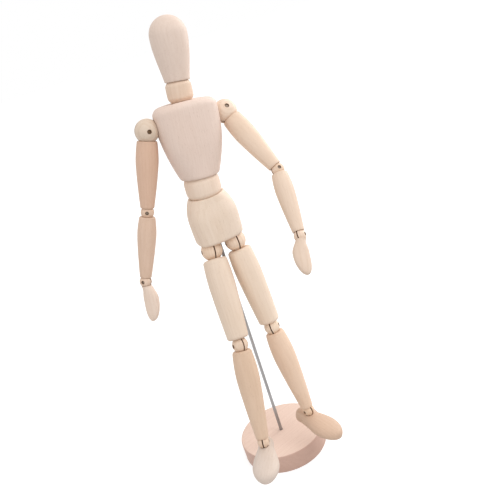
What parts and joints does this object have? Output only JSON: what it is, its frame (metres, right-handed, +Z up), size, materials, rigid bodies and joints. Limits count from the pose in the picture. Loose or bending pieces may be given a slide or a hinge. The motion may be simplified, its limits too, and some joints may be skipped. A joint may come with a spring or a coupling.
{
  "type": "artist drawing mannequin",
  "caption": "Jointed wooden drawing figure with sawn ball joints, cross pins and inner springs, held upright by a steel rod on a round wooden base.",
  "frame": {"origin": "centre of the base underside", "axes": "+Z up along the rod, the figure faces -Y and its left side is at +X"},
  "size_m": [0.1146, 0.1091, 0.3296],
  "materials": {
    "pale_wood": "plain sanded",
    "limb_wood": "plain sanded",
    "base_wood": "plain sanded",
    "rod_steel": "drawn bar",
    "wire_steel": "drawn wire"
  },
  "bodies": {
    "base": {"base": "base_wood", "support_rod": "rod_steel"},
    "pelvis": {"pelvis": "limb_wood"},
    "waist_spring": {"waist_spring": "wire_steel"},
    "waist": {"waist": "limb_wood"},
    "chest": {"chest": "pale_wood", "shoulder_spring": "wire_steel"},
    "neck_spring": {"neck_spring": "wire_steel"},
    "neck": {"neck": "limb_wood"},
    "head": {"head": "pale_wood"},
    "right_shoulder_ball": {"right_shoulder_ball": "limb_wood", "right_shoulder_pin": "wire_steel"},
    "right_upper_arm": {"right_upper_arm": "limb_wood", "right_upper_arm_spring": "wire_steel"},
    "right_elbow_ball": {"right_elbow_ball": "limb_wood", "right_elbow_pin": "wire_steel"},
    "right_forearm": {"right_forearm": "limb_wood", "right_forearm_spring": "wire_steel"},
    "right_wrist_ball": {"right_wrist_ball": "limb_wood", "right_wrist_pin": "wire_steel"},
    "right_hand": {"right_hand": "limb_wood", "right_hand_eye": "wire_steel"},
    "right_hip_link": {"right_hip_link": "wire_steel"},
    "right_hip_ball": {"right_hip_ball": "limb_wood", "right_hip_pin": "wire_steel"},
    "right_thigh": {"right_thigh": "limb_wood", "right_thigh_spring": "wire_steel"},
    "right_knee_ball": {"right_knee_ball": "limb_wood", "right_knee_pin": "wire_steel"},
    "right_shank": {"right_shank": "limb_wood", "right_shank_spring": "wire_steel"},
    "right_ankle_ball": {"right_ankle_ball": "limb_wood", "right_ankle_pin": "wire_steel"},
    "right_foot": {"right_foot": "limb_wood", "right_foot_eye": "wire_steel"},
    "left_shoulder_ball": {"left_shoulder_ball": "limb_wood", "left_shoulder_pin": "wire_steel"},
    "left_upper_arm": {"left_upper_arm": "limb_wood", "left_upper_arm_spring": "wire_steel"},
    "left_elbow_ball": {"left_elbow_ball": "limb_wood", "left_elbow_pin": "wire_steel"},
    "left_forearm": {"left_forearm": "limb_wood", "left_forearm_spring": "wire_steel"},
    "left_wrist_ball": {"left_wrist_ball": "limb_wood", "left_wrist_pin": "wire_steel"},
    "left_hand": {"left_hand": "limb_wood", "left_hand_eye": "wire_steel"},
    "left_hip_link": {"left_hip_link": "wire_steel"},
    "left_hip_ball": {"left_hip_ball": "limb_wood", "left_hip_pin": "wire_steel"},
    "left_thigh": {"left_thigh": "limb_wood", "left_thigh_spring": "wire_steel"},
    "left_knee_ball": {"left_knee_ball": "limb_wood", "left_knee_pin": "wire_steel"},
    "left_shank": {"left_shank": "limb_wood", "left_shank_spring": "wire_steel"},
    "left_ankle_ball": {"left_ankle_ball": "limb_wood", "left_ankle_pin": "wire_steel"},
    "left_foot": {"left_foot": "limb_wood", "left_foot_eye": "wire_steel"}
  },
  "joints": [
    {"name": "figure_swivel", "type": "hinge", "parent": "base", "child": "pelvis", "pos_m": [0, 0, 0.1816], "axis": [0, 0, 1], "continuous": true},
    {"name": "waist_lean", "type": "hinge", "parent": "pelvis", "child": "waist_spring", "pos_m": [0.0009, -0.0016, 0.22045], "axis": [1, 0, 0], "range_deg": [-20, 20], "deforming": ["waist_spring"]},
    {"name": "waist_tilt", "type": "hinge", "parent": "waist_spring", "child": "waist", "pos_m": [0.0009, -0.0016, 0.22045], "axis": [0, 1, 0], "range_deg": [-20, 20], "deforming": ["waist_spring"]},
    {"name": "chest_turn", "type": "hinge", "parent": "waist", "child": "chest", "pos_m": [0.0009, -0.0016, 0.22045], "axis": [0.093, 0.0552, 0.9941], "range_deg": [-60, 60], "deforming": ["waist_spring"]},
    {"name": "neck_nod", "type": "hinge", "parent": "chest", "child": "neck_spring", "pos_m": [0.00675, 0.00187, 0.28298], "axis": [0.9948, -0.0471, -0.0905], "range_deg": [-20, 20], "deforming": ["neck_spring"]},
    {"name": "neck_tilt", "type": "hinge", "parent": "neck_spring", "child": "neck", "pos_m": [0.00675, 0.00187, 0.28298], "axis": [0.0418, 0.9974, -0.0593], "range_deg": [-20, 20], "deforming": ["neck_spring"]},
    {"name": "head_turn", "type": "hinge", "parent": "neck", "child": "head", "pos_m": [0.00675, 0.00187, 0.28298], "axis": [0.1455, 0.0648, 0.9872], "range_deg": [-90, 90], "deforming": ["neck_spring"]},
    {"name": "right_shoulder_swing", "type": "hinge", "parent": "chest", "child": "right_shoulder_ball", "pos_m": [-0.02181, 0.00207, 0.26618], "axis": [-0.9948, 0.0471, 0.0905], "range_deg": [-88.7, 166.3], "deforming": ["shoulder_spring"]},
    {"name": "right_arm_spread", "type": "hinge", "parent": "right_shoulder_ball", "child": "right_upper_arm", "pos_m": [-0.02181, 0.00207, 0.26618], "axis": [0.0439, 0.9984, -0.0367], "range_deg": [-9.2, 105.3]},
    {"name": "right_elbow_twist", "type": "hinge", "parent": "right_upper_arm", "child": "right_elbow_ball", "pos_m": [-0.03974, 0.00104, 0.21685], "axis": [0.3415, 0.0196, 0.9397], "range_deg": [-75.1, 104.9], "deforming": ["right_upper_arm_spring"]},
    {"name": "right_elbow_bend", "type": "hinge", "parent": "right_elbow_ball", "child": "right_forearm", "pos_m": [-0.03974, 0.00104, 0.21685], "axis": [0.2838, 0.951, -0.1229], "range_deg": [-28.7, 32.3]},
    {"name": "right_wrist_twist", "type": "hinge", "parent": "right_forearm", "child": "right_wrist_ball", "pos_m": [-0.05703, 0.00056, 0.17314], "axis": [0.3679, 0.0104, 0.9298], "range_deg": [-65.3, 114.7], "deforming": ["right_forearm_spring"]},
    {"name": "right_wrist_bend", "type": "hinge", "parent": "right_wrist_ball", "child": "right_hand", "pos_m": [-0.05703, 0.00056, 0.17314], "axis": [0.6279, 0.7348, -0.2567], "range_deg": [-45.5, 48.5]},
    {"name": "right_hip_splay", "type": "hinge", "parent": "pelvis", "child": "right_hip_link", "pos_m": [-0.0081, -0.0046, 0.1766], "axis": [0, 1, 0], "range_deg": [-7.5, 5.5], "deforming": ["right_hip_link"]},
    {"name": "right_hip_twist", "type": "hinge", "parent": "right_hip_link", "child": "right_hip_ball", "pos_m": [-0.0081, -0.0046, 0.1766], "axis": [0.1478, 0, 0.989], "range_deg": [-35, 8], "deforming": ["right_hip_link"]},
    {"name": "right_thigh_swing", "type": "hinge", "parent": "right_hip_ball", "child": "right_thigh", "pos_m": [-0.0081, -0.0046, 0.1766], "axis": [-0.989, 0, 0.1478], "range_deg": [-16.5, 40.5]},
    {"name": "right_knee_twist", "type": "hinge", "parent": "right_thigh", "child": "right_knee_ball", "pos_m": [-0.01718, -0.03132, 0.11583], "axis": [0.1356, 0.3987, 0.907], "range_deg": [-49.6, 30.4], "deforming": ["right_thigh_spring"]},
    {"name": "right_knee_bend", "type": "hinge", "parent": "right_knee_ball", "child": "right_shank", "pos_m": [-0.01718, -0.03132, 0.11583], "axis": [0.9653, 0.1529, -0.2115], "range_deg": [-67.4, 30.6]},
    {"name": "right_ankle_twist", "type": "hinge", "parent": "right_shank", "child": "right_ankle_ball", "pos_m": [-0.02837, -0.05045, 0.05091], "axis": [0.1631, 0.279, 0.9463], "range_deg": [-8.2, 81.8], "deforming": ["right_shank_spring"]},
    {"name": "right_foot_bend", "type": "hinge", "parent": "right_ankle_ball", "child": "right_foot", "pos_m": [-0.02837, -0.05045, 0.05091], "axis": [0.895, -0.4454, -0.023], "range_deg": [-52.6, 17.4]},
    {"name": "left_shoulder_swing", "type": "hinge", "parent": "chest", "child": "left_shoulder_ball", "pos_m": [0.03171, -0.00046, 0.26131], "axis": [0.9948, -0.0471, -0.0905], "range_deg": [-135.8, 119.2], "deforming": ["shoulder_spring"]},
    {"name": "left_arm_spread", "type": "hinge", "parent": "left_shoulder_ball", "child": "left_upper_arm", "pos_m": [0.03171, -0.00046, 0.26131], "axis": [-0.0089, 0.8437, -0.5368], "range_deg": [-98.9, 15.6]},
    {"name": "left_elbow_twist", "type": "hinge", "parent": "left_upper_arm", "child": "left_elbow_ball", "pos_m": [0.04554, -0.02755, 0.21851], "axis": [-0.2633, 0.5159, 0.8152], "range_deg": [-92, 88], "deforming": ["left_upper_arm_spring"]},
    {"name": "left_elbow_bend", "type": "hinge", "parent": "left_elbow_ball", "child": "left_forearm", "pos_m": [0.04554, -0.02755, 0.21851], "axis": [-0.0426, 0.838, -0.544], "range_deg": [-59.2, 34.8]},
    {"name": "left_wrist_twist", "type": "hinge", "parent": "left_forearm", "child": "left_wrist_ball", "pos_m": [0.03745, -0.05304, 0.17987], "axis": [0.1721, 0.5425, 0.8222], "range_deg": [-136.5, 43.5], "deforming": ["left_forearm_spring"]},
    {"name": "left_wrist_bend", "type": "hinge", "parent": "left_wrist_ball", "child": "left_hand", "pos_m": [0.03745, -0.05304, 0.17987], "axis": [-0.7432, 0.6194, -0.2531], "range_deg": [-50.5, 43.5]},
    {"name": "left_hip_splay", "type": "hinge", "parent": "pelvis", "child": "left_hip_link", "pos_m": [0.0099, -0.0046, 0.1766], "axis": [0, 1, 0], "range_deg": [-12.5, 1.5], "deforming": ["left_hip_link"]},
    {"name": "left_hip_twist", "type": "hinge", "parent": "left_hip_link", "child": "left_hip_ball", "pos_m": [0.0099, -0.0046, 0.1766], "axis": [-0.0262, 0, 0.9997], "range_deg": [-8, 35], "deforming": ["left_hip_link"]},
    {"name": "left_thigh_swing", "type": "hinge", "parent": "left_hip_ball", "child": "left_thigh", "pos_m": [0.0099, -0.0046, 0.1766], "axis": [0.9997, 0, 0.0262], "range_deg": [-50.3, 8.7]},
    {"name": "left_knee_twist", "type": "hinge", "parent": "left_thigh", "child": "left_knee_ball", "pos_m": [0.0116, -0.02047, 0.11153], "axis": [0.0254, -0.2368, -0.9712], "range_deg": [-69.4, 10.6], "deforming": ["left_thigh_spring"]},
    {"name": "left_knee_bend", "type": "hinge", "parent": "left_knee_ball", "child": "left_shank", "pos_m": [0.0116, -0.02047, 0.11153], "axis": [0.8679, -0.4769, 0.139], "range_deg": [-62.4, 35.6]},
    {"name": "left_ankle_twist", "type": "hinge", "parent": "left_shank", "child": "left_ankle_ball", "pos_m": [0.01477, -0.03427, 0.04441], "axis": [-0.0462, 0.2012, 0.9785], "range_deg": [-108.2, 11.8], "deforming": ["left_shank_spring"]},
    {"name": "left_foot_bend", "type": "hinge", "parent": "left_ankle_ball", "child": "left_foot", "pos_m": [0.01477, -0.03427, 0.04441], "axis": [0.9472, 0.3199, -0.0211], "range_deg": [-53, 17]}
  ]
}
